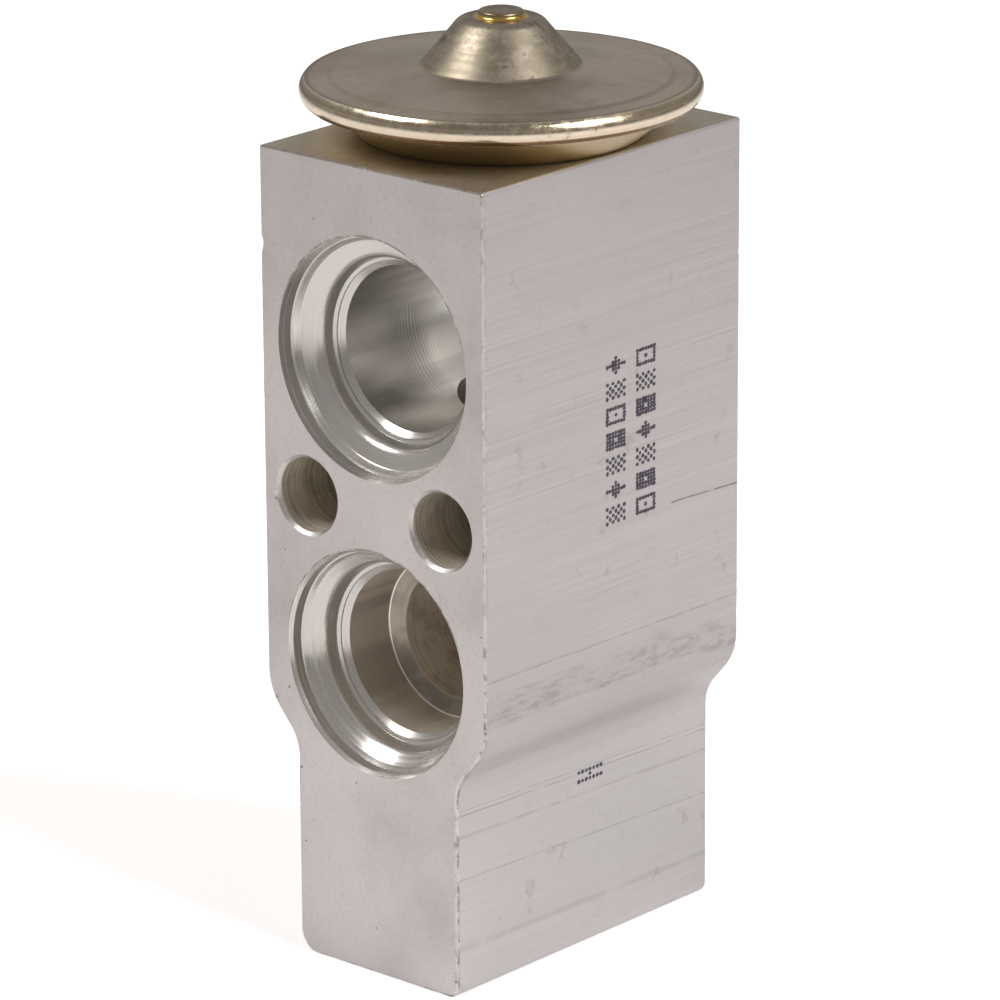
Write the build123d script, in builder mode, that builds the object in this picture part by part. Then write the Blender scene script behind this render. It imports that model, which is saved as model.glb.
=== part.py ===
from build123d import *
import os

# Block-type thermostatic expansion valve, in millimetres.
# The origin is the centre of the block's bottom face. +Z runs up to the power head,
# and -Y points out of the face with the two large ports.

# Block
block_width = 28.6
block_depth = 38.1
block_height = 82.0
foot_width = 20.7
shoulder_top_z = 26.6
shoulder_bottom_z = 22.0
shoulder_outer_radius = 6.0
shoulder_inner_radius = 4.5
foot_left_radius = 2.2
foot_right_radius = 1.0
top_corner_radius = 0.3
edge_break = 0.2

# Ports: heights of their axes and radii of their bores
suction_z = 63.0
outlet_z = 32.2
inlet_z = 17.0
suction_bore_radius = 8.27
outlet_bore_radius = 8.3
inlet_bore_radius = 5.1
suction_mouth_step = 3.7
outlet_mouth_step = 2.95
inlet_mouth_step = 2.4
suction_seat_step = 1.08
outlet_seat_step = 1.0
inlet_seat_step = 1.0
mouth_chamfer = 0.3
mouth_depth = 1.65
mouth_taper = 0.1
seat_depth = 3.7
throat_depth = 4.6
throat_step = 0.95
seat_round = 1.2
bore_start_depth = 5.4
suction_bore_depth = 14.6
suction_stop_step = 0.2
outlet_bore_depth = 11.1
outlet_inner_radius = 6.6
outlet_inner_depth = 24.0
inlet_bore_depth = 9.6
inlet_inner_radius = 3.2
drill_slope = 0.4

# Bolt holes through the block
bolt_z = 47.7
bolt_spacing = 17.4
bolt_hole_radius = 3.75
bolt_hole_chamfer = 0.35

# Valve seat and the chamber below it
chamber_radius = 6.2
chamber_top_z = 21.0
orifice_radius = 1.9
seat_mouth_radius = 3.1
seat_gap = 0.03

# Ball, carrier and bias spring
ball_radius = 2.75
carrier_radius = 3.0
carrier_flange_radius = 4.6
carrier_flange_thickness = 1.0
carrier_spigot_radius = 2.9
carrier_spigot_length = 1.6
carrier_lip_drop = 1.0
carrier_height = 2.9
ball_pocket_gap = 0.02
spring_mean_radius = 3.85
spring_wire_radius = 0.45
spring_coils = 4.5
spring_wire_sides = 8

# Damper spring, the sheet crown that steadies the carrier in its chamber
damper_sheet = 0.3
damper_leg_count = 3
damper_leg_width = 2.2
damper_leg_length = 5.0
damper_gap = 0.05

# Adjusting screw, its seal and its bore
screw_thread_radius = 7.0
screw_thread_length = 3.6
screw_recess = 1.0
screw_body_radius = 6.1
screw_body_length = 4.3
screw_spigot_radius = 2.9
screw_spigot_length = 1.2
screw_chamfer = 0.4
screw_travel = 0.75
key_width = 6.0
key_depth = 4.4
thread_clearance = 0.05
thread_runout = 0.2
screw_seal_section = 1.5
screw_groove_width = 1.6
screw_groove_offset = 1.9
adjuster_mouth_chamfer = 0.5

# Operating pin and sensing rod
pin_radius = 1.2
pin_clearance = 0.05
pin_socket_depth = 2.5
rod_radius = 3.0
rod_clearance = 0.05
rod_bottom_z = 46.4
rod_end_gap = 1.2
rod_waist_radius = 2.6
rod_waist_length = 12.0
rod_end_chamfer = 0.3

# Rod seal and its retainer, below the suction passage
gland_radius = 4.5
gland_floor_z = 51.8
retainer_thickness = 0.3
retainer_gap = 0.05
retainer_rod_gap = 0.2
retainer_teeth = 6
retainer_slot_width = 0.6

# Power head
sheet = 0.9
diaphragm_thickness = 0.2
head_hub_z = block_height
head_thread_radius = 10.0
head_thread_depth = 8.0
neck_length = 6.6
neck_bore_radius = 7.2
neck_flange_radius = 12.4
neck_flange_thickness = 1.0
head_passage_radius = 7.3
head_seal_section = 1.6
ring_gap = 0.02
ring_flats = 8
dish_floor_step = 0.97
dish_rise = 3.6
flange_width = 2.05
weld_width = 0.55
weld_drop = 0.3
crown_step = 0.25
crown_rise = 0.85
crown_inner_radius = 7.87
cone_top_radius = 4.03
cone_height = 4.65
cone_base_round = 0.7
cone_top_round = 1.5
plug_hole_radius = 1.15
plug_head_radius = 2.2
plug_head_height = 0.7
plug_stem_radius = 1.1
plug_stem_length = 1.9
plug_round = 0.2
solder_width = 0.5
solder_height = 0.4
corrugation_count = 2
corrugation_depth = 0.3
corrugation_margin = 0.6

# Diaphragm stop, the disc that carries the sensing rod
valve_stroke = 0.8
stop_disc_radius = 9.4
stop_hub_radius = 4.6
stop_hub_length = 2.2
stop_gap = 0.05

# Places that follow from the sizes above
front_y = -block_depth / 2
rear_y = block_depth / 2
seat_edge_z = chamber_top_z + seat_mouth_radius - orifice_radius
ball_seated_z = seat_edge_z + orifice_radius - ball_radius * 2**0.5
ball_z = ball_seated_z - seat_gap * 2**0.5
carrier_top_z = ball_z - carrier_lip_drop
carrier_flange_z = carrier_top_z - carrier_height
screw_top_z = screw_recess + screw_thread_length + screw_body_length
screw_groove_z = screw_recess + screw_thread_length + screw_groove_offset
thread_end_z = screw_recess + screw_thread_length + screw_travel + thread_runout
pin_guide_top_z = rod_bottom_z - rod_end_gap
seal_cone_radius = head_thread_radius + head_seal_section * (1 + 0.5**0.5)
cover_radius = block_depth / 2
rim_radius = cover_radius + weld_width
flange_inner_radius = cover_radius - flange_width
dish_floor_radius = seal_cone_radius + dish_floor_step
corrugation_inner_radius = stop_disc_radius + corrugation_margin
corrugation_outer_radius = flange_inner_radius - corrugation_margin
cover_floor_z = head_hub_z + sheet
flange_z = head_hub_z + dish_rise
diaphragm_z = flange_z + sheet
upper_flange_z = diaphragm_z + diaphragm_thickness
crown_z = upper_flange_z + sheet
plateau_z = crown_z + crown_step + crown_rise + cone_height
stop_top_z = diaphragm_z
stop_disc_z = cover_floor_z + neck_flange_thickness + valve_stroke + stop_gap
overrun = 1.0

os.makedirs("parts", exist_ok=True)


def save(part, name):
    """Labels a finished piece and writes it."""
    part.part.label = name
    export_step(part.part, f"parts/{name}.step")


def cut_port(port_z, face_y, inward, mouth_step, seat_step, bore_radius, stages):
    """Cuts one stepped port into the block from the face at face_y.

    The two steps say how much wider than the bore the mouth and the sealing seat are.
    stages holds (radius, depth) pairs: how wide the hole still is, and down to what depth.
    """
    mouth_radius = bore_radius + mouth_step
    seat_radius = bore_radius + seat_step
    profile = [
        (0, -overrun),
        (mouth_radius + mouth_chamfer, -overrun),
        (mouth_radius + mouth_chamfer, 0),
        (mouth_radius, mouth_chamfer),
        (mouth_radius - mouth_taper, mouth_depth),
        (seat_radius, seat_depth),
        (bore_radius + throat_step, throat_depth),
        (bore_radius, bore_start_depth),
    ]
    for radius, depth in stages:
        if radius < profile[-1][0]:
            step = (profile[-1][0] - radius) * drill_slope
            profile.append((radius, profile[-1][1] + step))
        profile.append((radius, depth))
    profile.append((0, profile[-1][1] + profile[-1][0] * drill_slope))
    corner = (seat_radius, face_y + inward * seat_depth)
    with BuildSketch(Plane.XY.offset(port_z)) as section:
        with BuildLine():
            Polyline([(r, face_y + inward * d) for r, d in profile], close=True)
        make_face()
        fillet(section.vertices().sort_by_distance(corner)[0], radius=seat_round)
    revolve(section.sketch, axis=Axis((0, 0, port_z), (0, 1, 0)), mode=Mode.SUBTRACT)


def cut_bore(profile):
    """Cuts a stepped vertical bore on the Z axis from (radius, height) pairs."""
    with BuildSketch(Plane.XZ) as section:
        with BuildLine():
            Polyline(profile, close=True)
        make_face()
    revolve(section.sketch, axis=Axis.Z, mode=Mode.SUBTRACT)


def turned(profile, rounds=()):
    """Adds a solid of revolution about Z. rounds holds (corner, radius) pairs."""
    with BuildSketch(Plane.XZ) as section:
        with BuildLine():
            Polyline(profile, close=True)
        make_face()
        for corner, radius in rounds:
            fillet(section.vertices().sort_by_distance(corner)[0], radius=radius)
    revolve(section.sketch, axis=Axis.Z)


def ring_seal(inner_radius, section, z):
    """Adds a rubber ring to a square space that starts at a radius and at z.

    Its section has flats where the walls and the cone press on it.
    """
    with BuildSketch(Plane.XZ) as cross_section:
        with Locations((inner_radius + section / 2, z + section / 2)):
            RegularPolygon(
                section / 2 - ring_gap,
                side_count=ring_flats,
                major_radius=False,
                rotation=180 / ring_flats,
            )
    revolve(cross_section.sketch, axis=Axis.Z)


# The block: an extruded profile, cut off, then bored from four sides
with BuildPart() as valve_body:
    half_width, half_foot = block_width / 2, foot_width / 2
    with BuildSketch(Plane.XZ):
        with BuildLine():
            FilletPolyline(
                (-half_width, block_height),
                (-half_width, shoulder_top_z),
                (-half_foot, shoulder_bottom_z),
                (-half_foot, 0),
                (half_foot, 0),
                (half_foot, shoulder_bottom_z),
                (half_width, shoulder_top_z),
                (half_width, block_height),
                radius=[
                    top_corner_radius,
                    shoulder_outer_radius,
                    shoulder_inner_radius,
                    foot_left_radius,
                    foot_right_radius,
                    shoulder_inner_radius,
                    shoulder_outer_radius,
                    top_corner_radius,
                ],
                close=True,
            )
        make_face()
    extrude(amount=block_depth / 2, both=True)
    end_faces = valve_body.faces().filter_by(Axis.Y)
    chamfer(end_faces.edges(), length=edge_break)

    # Suction passage: both bores end at a small step that stops the tube end
    for face_y, inward in ((front_y, 1), (rear_y, -1)):
        cut_port(
            suction_z,
            face_y,
            inward,
            suction_mouth_step,
            suction_seat_step,
            suction_bore_radius,
            [
                (suction_bore_radius, suction_bore_depth),
                (suction_bore_radius - suction_stop_step, block_depth / 2),
            ],
        )
    # Outlet to the evaporator, with the narrower hole that leads to the seat
    cut_port(
        outlet_z,
        front_y,
        1,
        outlet_mouth_step,
        outlet_seat_step,
        outlet_bore_radius,
        [(outlet_bore_radius, outlet_bore_depth), (outlet_inner_radius, outlet_inner_depth)],
    )
    # Liquid inlet, into the chamber below the seat
    cut_port(
        inlet_z,
        rear_y,
        -1,
        inlet_mouth_step,
        inlet_seat_step,
        inlet_bore_radius,
        [(inlet_bore_radius, inlet_bore_depth), (inlet_inner_radius, block_depth / 2)],
    )

    # Adjuster thread, chamber, seat and orifice
    cut_bore(
        [
            (0, -overrun),
            (screw_thread_radius + thread_clearance + adjuster_mouth_chamfer, -overrun),
            (screw_thread_radius + thread_clearance + adjuster_mouth_chamfer, 0),
            (screw_thread_radius + thread_clearance, adjuster_mouth_chamfer),
            (screw_thread_radius + thread_clearance, thread_end_z),
            (chamber_radius, thread_end_z),
            (chamber_radius, chamber_top_z),
            (seat_mouth_radius, chamber_top_z),
            (orifice_radius, seat_edge_z),
            (orifice_radius, outlet_z),
            (0, outlet_z),
        ]
    )
    # Pin guide, rod guide and the gland of the rod's seal
    cut_bore(
        [
            (0, outlet_z),
            (pin_radius + pin_clearance, outlet_z),
            (pin_radius + pin_clearance, pin_guide_top_z),
            (rod_radius + rod_clearance, pin_guide_top_z),
            (rod_radius + rod_clearance, gland_floor_z),
            (gland_radius, gland_floor_z),
            (gland_radius, suction_z),
            (0, suction_z),
        ]
    )
    # Passage up to the head, the head's thread and the seal's seat
    head_bore_radius = head_thread_radius + thread_clearance
    cut_bore(
        [
            (0, suction_z),
            (head_passage_radius, suction_z),
            (head_passage_radius, block_height - head_thread_depth),
            (head_bore_radius, block_height - head_thread_depth),
            (head_bore_radius, block_height - seal_cone_radius + head_bore_radius),
            (seal_cone_radius, block_height),
            (seal_cone_radius, block_height + overrun),
            (0, block_height + overrun),
        ]
    )
    # Bolt holes, chamfered on both faces
    for face_plane in (
        Plane(origin=(0, front_y, bolt_z), x_dir=(1, 0, 0), z_dir=(0, -1, 0)),
        Plane(origin=(0, rear_y, bolt_z), x_dir=(-1, 0, 0), z_dir=(0, 1, 0)),
    ):
        with Locations(face_plane):
            with GridLocations(bolt_spacing, 0, 2, 1):
                CounterSinkHole(
                    radius=bolt_hole_radius,
                    counter_sink_radius=bolt_hole_radius + bolt_hole_chamfer,
                    counter_sink_angle=90,
                )
save(valve_body, "valve_body")

# Adjusting screw: thread below, sealed land above, key socket from underneath
with BuildPart() as adjusting_screw:
    groove_root = chamber_radius - screw_seal_section
    thread_top = screw_recess + screw_thread_length
    turned(
        [
            (0, screw_recess),
            (screw_thread_radius - screw_chamfer, screw_recess),
            (screw_thread_radius, screw_recess + screw_chamfer),
            (screw_thread_radius, thread_top - screw_chamfer),
            (screw_thread_radius - screw_chamfer, thread_top),
            (screw_body_radius, thread_top),
            (screw_body_radius, screw_groove_z),
            (groove_root, screw_groove_z),
            (groove_root, screw_groove_z + screw_groove_width),
            (screw_body_radius, screw_groove_z + screw_groove_width),
            (screw_body_radius, screw_top_z - screw_chamfer),
            (screw_body_radius - screw_chamfer, screw_top_z),
            (screw_spigot_radius, screw_top_z),
            (screw_spigot_radius, screw_top_z + screw_spigot_length - screw_chamfer),
            (screw_spigot_radius - screw_chamfer, screw_top_z + screw_spigot_length),
            (0, screw_top_z + screw_spigot_length),
        ]
    )
    with BuildSketch(Plane.XY.offset(screw_recess)):
        RegularPolygon(key_width / 2, side_count=6, major_radius=False)
    extrude(amount=key_depth, mode=Mode.SUBTRACT)
save(adjusting_screw, "adjusting_screw")

with BuildPart() as adjuster_seal:
    seal_play = (screw_groove_width - screw_seal_section) / 2
    ring_seal(groove_root, screw_seal_section, screw_groove_z + seal_play)
save(adjuster_seal, "adjuster_seal")

# Ball, and the carrier that the spring lifts it with
with BuildPart() as valve_ball:
    with Locations((0, 0, ball_z)):
        Sphere(ball_radius)
save(valve_ball, "valve_ball")

with BuildPart() as ball_carrier:
    spigot_z = carrier_flange_z - carrier_spigot_length
    turned(
        [
            (0, spigot_z),
            (carrier_spigot_radius - screw_chamfer, spigot_z),
            (carrier_spigot_radius, spigot_z + screw_chamfer),
            (carrier_spigot_radius, carrier_flange_z),
            (carrier_flange_radius, carrier_flange_z),
            (carrier_flange_radius, carrier_flange_z + carrier_flange_thickness),
            (carrier_radius, carrier_flange_z + carrier_flange_thickness),
            (carrier_radius, carrier_top_z),
            (0, carrier_top_z),
        ]
    )
    with Locations((0, 0, ball_z)):
        Sphere(ball_radius + ball_pocket_gap, mode=Mode.SUBTRACT)
save(ball_carrier, "ball_carrier")

# Damper spring: a flat ring on the carrier's flange with legs bent down along the wall
with BuildPart() as damper_spring:
    damper_z = carrier_flange_z + carrier_flange_thickness
    leg_radius = chamber_radius - damper_gap
    with BuildSketch(Plane.XY.offset(damper_z)):
        Circle(leg_radius)
        Circle(carrier_radius + damper_gap, mode=Mode.SUBTRACT)
    extrude(amount=damper_sheet)
    with BuildSketch(Plane.XY.offset(damper_z - damper_leg_length)):
        Circle(leg_radius)
        Circle(leg_radius - damper_sheet, mode=Mode.SUBTRACT)
    extrude(amount=damper_leg_length)
    with BuildSketch(Plane.XY.offset(damper_z - damper_leg_length)):
        Circle(carrier_flange_radius + damper_gap)
        with PolarLocations(leg_radius / 2, damper_leg_count):
            Rectangle(leg_radius, damper_leg_width)
    extrude(amount=damper_leg_length + damper_sheet, mode=Mode.INTERSECT)
save(damper_spring, "damper_spring")

# Bias spring: a helix with both ends ground flat
with BuildPart() as bias_spring:
    spring_length = carrier_flange_z - screw_top_z
    spring_pitch = spring_length / spring_coils
    with BuildLine(Plane.XY.offset(screw_top_z)):
        coil = Helix(spring_pitch, spring_length, spring_mean_radius)
    with BuildSketch(Plane(origin=coil @ 0, z_dir=coil % 0)):
        RegularPolygon(spring_wire_radius, side_count=spring_wire_sides)
    sweep(path=coil, is_frenet=True)
    split(bisect_by=Plane.XY.offset(screw_top_z), keep=Keep.TOP)
    split(bisect_by=Plane.XY.offset(carrier_flange_z), keep=Keep.BOTTOM)
save(bias_spring, "bias_spring")

# Operating pin, from the ball up into the sensing rod
with BuildPart() as operating_pin:
    pin_bottom_z = ball_z + ball_radius
    pin_top_z = rod_bottom_z + pin_socket_depth
    with BuildSketch(Plane.XY.offset(pin_bottom_z)):
        Circle(pin_radius)
    extrude(amount=pin_top_z - pin_bottom_z)
    chamfer(operating_pin.edges().group_by(Axis.Z)[-1], length=rod_end_chamfer)
save(operating_pin, "operating_pin")

# Sensing rod, across the suction passage and up into the stop's hub
with BuildPart() as sensing_rod:
    rod_top_z = stop_top_z - sheet
    waist_z = suction_z - rod_waist_length / 2
    turned(
        [
            (0, rod_bottom_z),
            (rod_radius - rod_end_chamfer, rod_bottom_z),
            (rod_radius, rod_bottom_z + rod_end_chamfer),
            (rod_radius, waist_z),
            (rod_waist_radius, waist_z + rod_radius - rod_waist_radius),
            (rod_waist_radius, waist_z + rod_waist_length - rod_radius + rod_waist_radius),
            (rod_radius, waist_z + rod_waist_length),
            (rod_radius, rod_top_z),
            (0, rod_top_z),
        ]
    )
    with BuildSketch(Plane.XY.offset(rod_bottom_z)):
        Circle(pin_radius + ball_pocket_gap)
    extrude(amount=pin_socket_depth, mode=Mode.SUBTRACT)
save(sensing_rod, "sensing_rod")

with BuildPart() as rod_seal:
    ring_seal(rod_radius, gland_radius - rod_radius, gland_floor_z)
save(rod_seal, "rod_seal")

# Push-in retainer above the rod's seal
with BuildPart() as seal_retainer:
    retainer_z = gland_floor_z + gland_radius - rod_radius + retainer_gap
    with BuildSketch(Plane.XY.offset(retainer_z)):
        Circle(gland_radius)
        Circle(rod_radius + retainer_rod_gap, mode=Mode.SUBTRACT)
        with PolarLocations(gland_radius, retainer_teeth):
            Rectangle(gland_radius - rod_radius, retainer_slot_width, mode=Mode.SUBTRACT)
    extrude(amount=retainer_thickness)
save(seal_retainer, "seal_retainer")

# Stop: the disc under the diaphragm, whose hub takes the rod
with BuildPart() as diaphragm_stop:
    turned(
        [
            (rod_radius, stop_disc_z - stop_hub_length),
            (stop_hub_radius, stop_disc_z - stop_hub_length),
            (stop_hub_radius, stop_disc_z),
            (stop_disc_radius, stop_disc_z),
            (stop_disc_radius, stop_top_z),
            (0, stop_top_z),
            (0, rod_top_z),
            (rod_radius, rod_top_z),
        ]
    )
save(diaphragm_stop, "diaphragm_stop")

# Threaded neck that holds the head in the block
with BuildPart() as threaded_neck:
    turned(
        [
            (neck_bore_radius, block_height - neck_length),
            (head_thread_radius - screw_chamfer, block_height - neck_length),
            (head_thread_radius, block_height - neck_length + screw_chamfer),
            (head_thread_radius, cover_floor_z),
            (neck_flange_radius, cover_floor_z),
            (neck_flange_radius, cover_floor_z + neck_flange_thickness),
            (neck_bore_radius, cover_floor_z + neck_flange_thickness),
        ]
    )
save(threaded_neck, "threaded_neck")

with BuildPart() as head_seal:
    # The ring fills the corner between the neck, the block's cone and the cover
    ring_seal(head_thread_radius, head_seal_section, head_hub_z - head_seal_section)
save(head_seal, "head_seal")

# Lower cover: a pressed dish whose flat floor sits on the block
with BuildPart() as lower_cover:
    lift = sheet / 2
    turned(
        [
            (head_thread_radius, head_hub_z),
            (dish_floor_radius, head_hub_z),
            (flange_inner_radius + lift, flange_z - lift),
            (cover_radius, flange_z - lift / 2),
            (cover_radius, diaphragm_z),
            (flange_inner_radius - lift, diaphragm_z),
            (dish_floor_radius - lift, cover_floor_z),
            (head_thread_radius, cover_floor_z),
        ],
        rounds=[((dish_floor_radius, head_hub_z), sheet)],
    )
save(lower_cover, "lower_cover")

# Diaphragm: thin corrugated disc clamped between the covers
with BuildPart() as diaphragm:
    span = (corrugation_outer_radius - corrugation_inner_radius) / corrugation_count
    with BuildSketch(Plane.XZ):
        with BuildLine():
            for level in (diaphragm_z, upper_flange_z):
                Line((0, level), (corrugation_inner_radius, level))
                for wave in range(corrugation_count):
                    start = corrugation_inner_radius + wave * span
                    ThreePointArc(
                        (start, level),
                        (start + span / 2, level - corrugation_depth),
                        (start + span, level),
                    )
                Line((corrugation_outer_radius, level), (cover_radius, level))
            Line((0, diaphragm_z), (0, upper_flange_z))
            Line((cover_radius, diaphragm_z), (cover_radius, upper_flange_z))
        make_face()
    revolve(axis=Axis.Z)
save(diaphragm, "diaphragm")

# Upper cover: pressed cap with its conical boss
with BuildPart() as upper_cover:
    boss_z = crown_z + crown_step + crown_rise
    outer_line = [
        (cover_radius, crown_z),
        (flange_inner_radius, crown_z),
        (flange_inner_radius - 2 * crown_step, crown_z + crown_step),
        (crown_inner_radius, boss_z),
        (cone_top_radius, plateau_z),
        (plug_hole_radius, plateau_z),
    ]
    inner_line = [
        (plug_hole_radius, plateau_z - sheet),
        (cone_top_radius - sheet / 2, plateau_z - sheet),
        (crown_inner_radius - sheet / 2, boss_z - sheet),
        (flange_inner_radius - 2 * crown_step - sheet / 4, crown_z + crown_step - sheet),
        (flange_inner_radius - sheet / 4, upper_flange_z),
        (cover_radius, upper_flange_z),
    ]
    turned(
        outer_line + inner_line,
        rounds=[
            ((crown_inner_radius, boss_z), cone_base_round),
            ((cone_top_radius, plateau_z), cone_top_round),
        ],
    )
save(upper_cover, "upper_cover")

# Weld bead round the rim, which joins both covers and the diaphragm
with BuildPart() as rim_weld:
    bead_low = flange_z - weld_drop
    with BuildSketch(Plane.XZ):
        with BuildLine():
            Line((cover_radius, bead_low), (cover_radius, crown_z))
            ThreePointArc(
                (cover_radius, crown_z),
                (rim_radius, (bead_low + crown_z) / 2),
                (cover_radius, bead_low),
            )
        make_face()
    revolve(axis=Axis.Z)
save(rim_weld, "rim_weld")

# Charge plug in the boss, and the solder round its foot
with BuildPart() as charge_plug:
    plug_top = plateau_z + plug_head_height
    turned(
        [
            (0, plateau_z - plug_stem_length),
            (plug_stem_radius, plateau_z - plug_stem_length),
            (plug_stem_radius, plateau_z),
            (plug_head_radius, plateau_z),
            (plug_head_radius, plug_top),
            (0, plug_top),
        ],
        rounds=[((plug_head_radius, plug_top), plug_round)],
    )
save(charge_plug, "charge_plug")

with BuildPart() as plug_solder:
    with BuildSketch(Plane.XZ):
        with BuildLine():
            foot = (plug_head_radius + solder_width, plateau_z)
            tip = (plug_head_radius, plateau_z + solder_height)
            Line((plug_head_radius, plateau_z), foot)
            Line((plug_head_radius, plateau_z), tip)
            RadiusArc(foot, tip, -2 * solder_width)
        make_face()
    revolve(axis=Axis.Z)
save(plug_solder, "plug_solder")
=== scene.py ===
import math
import random

import bmesh
import bpy
from mathutils import Matrix, Vector


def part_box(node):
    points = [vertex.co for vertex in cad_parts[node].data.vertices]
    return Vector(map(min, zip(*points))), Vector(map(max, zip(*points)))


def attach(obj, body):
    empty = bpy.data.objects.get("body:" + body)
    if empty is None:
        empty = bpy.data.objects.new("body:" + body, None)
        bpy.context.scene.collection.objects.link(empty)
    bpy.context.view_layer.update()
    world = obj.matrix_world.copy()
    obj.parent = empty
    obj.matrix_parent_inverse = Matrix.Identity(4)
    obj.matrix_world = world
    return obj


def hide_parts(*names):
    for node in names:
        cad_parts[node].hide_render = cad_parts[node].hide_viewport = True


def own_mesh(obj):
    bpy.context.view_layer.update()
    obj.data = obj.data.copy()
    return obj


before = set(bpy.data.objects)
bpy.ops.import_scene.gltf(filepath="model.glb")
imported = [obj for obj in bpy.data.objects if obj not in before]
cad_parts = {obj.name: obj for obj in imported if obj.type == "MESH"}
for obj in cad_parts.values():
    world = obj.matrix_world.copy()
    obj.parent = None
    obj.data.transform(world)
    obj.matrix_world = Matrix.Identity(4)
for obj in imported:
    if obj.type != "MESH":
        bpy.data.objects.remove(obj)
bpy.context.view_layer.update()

mm = 0.001
blockLow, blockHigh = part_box("valve_body")
frontY, rearY = blockLow.y, blockHigh.y
topZ = blockHigh.z
alongY = Vector((0, 1, 0))
alongZ = Vector((0, 0, 1))

print("stage: camera and studio")

cameraSettings = {
    "place": Vector((387.836, -439.323, 232.697)) * mm,
    "azimuth": 41.4047,
    "elevation": 17.7434,
    "roll": -0.3135,
    "lens": 224.53,
    "sensor": 36.0,
    "shift": (-0.0071, -0.0077),
    "clip": (0.01, 20),
}


def setUpCamera():
    azimuth, elevation, roll = [
        math.radians(cameraSettings[k]) for k in ("azimuth", "elevation", "roll")
    ]
    back = Vector(
        (
            math.sin(azimuth) * math.cos(elevation),
            -math.cos(azimuth) * math.cos(elevation),
            math.sin(elevation),
        )
    )
    right = Vector((math.cos(azimuth), math.sin(azimuth), 0))
    up = back.cross(right)
    rolledRight = right * math.cos(roll) + up * math.sin(roll)
    rolledUp = up * math.cos(roll) - right * math.sin(roll)
    bpy.ops.object.camera_add(location=(0, 0, 0))
    camera = bpy.context.object
    camera.name = "photoCamera"
    turn = Matrix((rolledRight, rolledUp, back)).transposed().to_4x4()
    camera.matrix_world = Matrix.Translation(cameraSettings["place"]) @ turn
    camera.data.lens = cameraSettings["lens"]
    camera.data.sensor_width = cameraSettings["sensor"]
    camera.data.shift_x, camera.data.shift_y = cameraSettings["shift"]
    camera.data.clip_start, camera.data.clip_end = cameraSettings["clip"]
    bpy.context.scene.camera = camera


lampAim = Vector((0, 0, 0.045))
lampSettings = [  # name, place in metres, size, watts, colour
    ("leftSoftbox", (-0.52, -0.48, 0.95), (0.46, 0.32), 6.6, (1.0, 0.992, 0.985)),
    ("rightSoftbox", (0.78, 0.1, 0.68), (0.5, 0.46), 8.6, (1.0, 0.995, 0.99)),
]


def setUpLamps():
    for name, place, size, watts, colour in lampSettings:
        bpy.ops.object.light_add(type="AREA", location=place)
        lamp = bpy.context.object
        lamp.name = name
        lamp.data.shape = "RECTANGLE"
        lamp.data.size, lamp.data.size_y = size
        lamp.data.energy = watts
        lamp.data.color = colour
        lamp.rotation_euler = (lampAim - Vector(place)).to_track_quat("-Z", "Y").to_euler()


def addNode(tree, kind, **settings):
    node = tree.nodes.new(kind)
    for key, value in settings.items():
        setattr(node, key, value)
    return node


def setSockets(node, values):
    for name, value in values.items():
        node.inputs[name].default_value = value


roomSettings = {
    "horizon": (0.24, 0.235, 0.225),
    "lowSky": (0.32, 0.31, 0.295),
    "lowSkyHeight": 0.3,
    "zenith": (0.27, 0.265, 0.255),
    "behindObject": Vector((-0.66, 0.75, 0)),
    "darkToBright": (-0.8, 0.7),
    "strengthRange": (0.95, 1.35),
}


def setUpWorld():  # a room that is darker behind the camera than behind the object
    world = bpy.data.worlds.new("studio")
    bpy.context.scene.world = world
    world.use_nodes = True
    tree = world.node_tree
    tree.nodes.clear()
    place = addNode(tree, "ShaderNodeTexCoord")
    split = addNode(tree, "ShaderNodeSeparateXYZ")
    sky = addNode(tree, "ShaderNodeValToRGB")
    glow = addNode(tree, "ShaderNodeBackground")
    out = addNode(tree, "ShaderNodeOutputWorld")
    sky.color_ramp.elements.new(roomSettings["lowSkyHeight"])
    for step, key in zip(sky.color_ramp.elements, ("horizon", "lowSky", "zenith")):
        step.color = (*roomSettings[key], 1)
    toRear = addNode(tree, "ShaderNodeVectorMath", operation="DOT_PRODUCT")
    toRear.inputs[1].default_value = roomSettings["behindObject"]
    level = addNode(tree, "ShaderNodeMapRange", interpolation_type="SMOOTHSTEP")
    dark, bright = roomSettings["darkToBright"]
    least, most = roomSettings["strengthRange"]
    setSockets(level, {"From Min": dark, "From Max": bright, "To Min": least, "To Max": most})
    for source, target in (
        (place.outputs["Generated"], toRear.inputs[0]),
        (toRear.outputs["Value"], level.inputs["Value"]),
        (level.outputs["Result"], glow.inputs["Strength"]),
        (place.outputs["Generated"], split.inputs[0]),
        (split.outputs["Z"], sky.inputs[0]),
        (sky.outputs[0], glow.inputs["Color"]),
        (glow.outputs[0], out.inputs[0]),
    ):
        tree.links.new(source, target)


floorSettings = {
    "size": 12.0,
    "nearColour": (0.86, 0.85, 0.85),
    "farColour": (0.30, 0.29, 0.28),
    "fadeRange": (0.16, 0.75),
    "cameraLift": 0.42,
    "glossyLift": 0.18,
}


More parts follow.
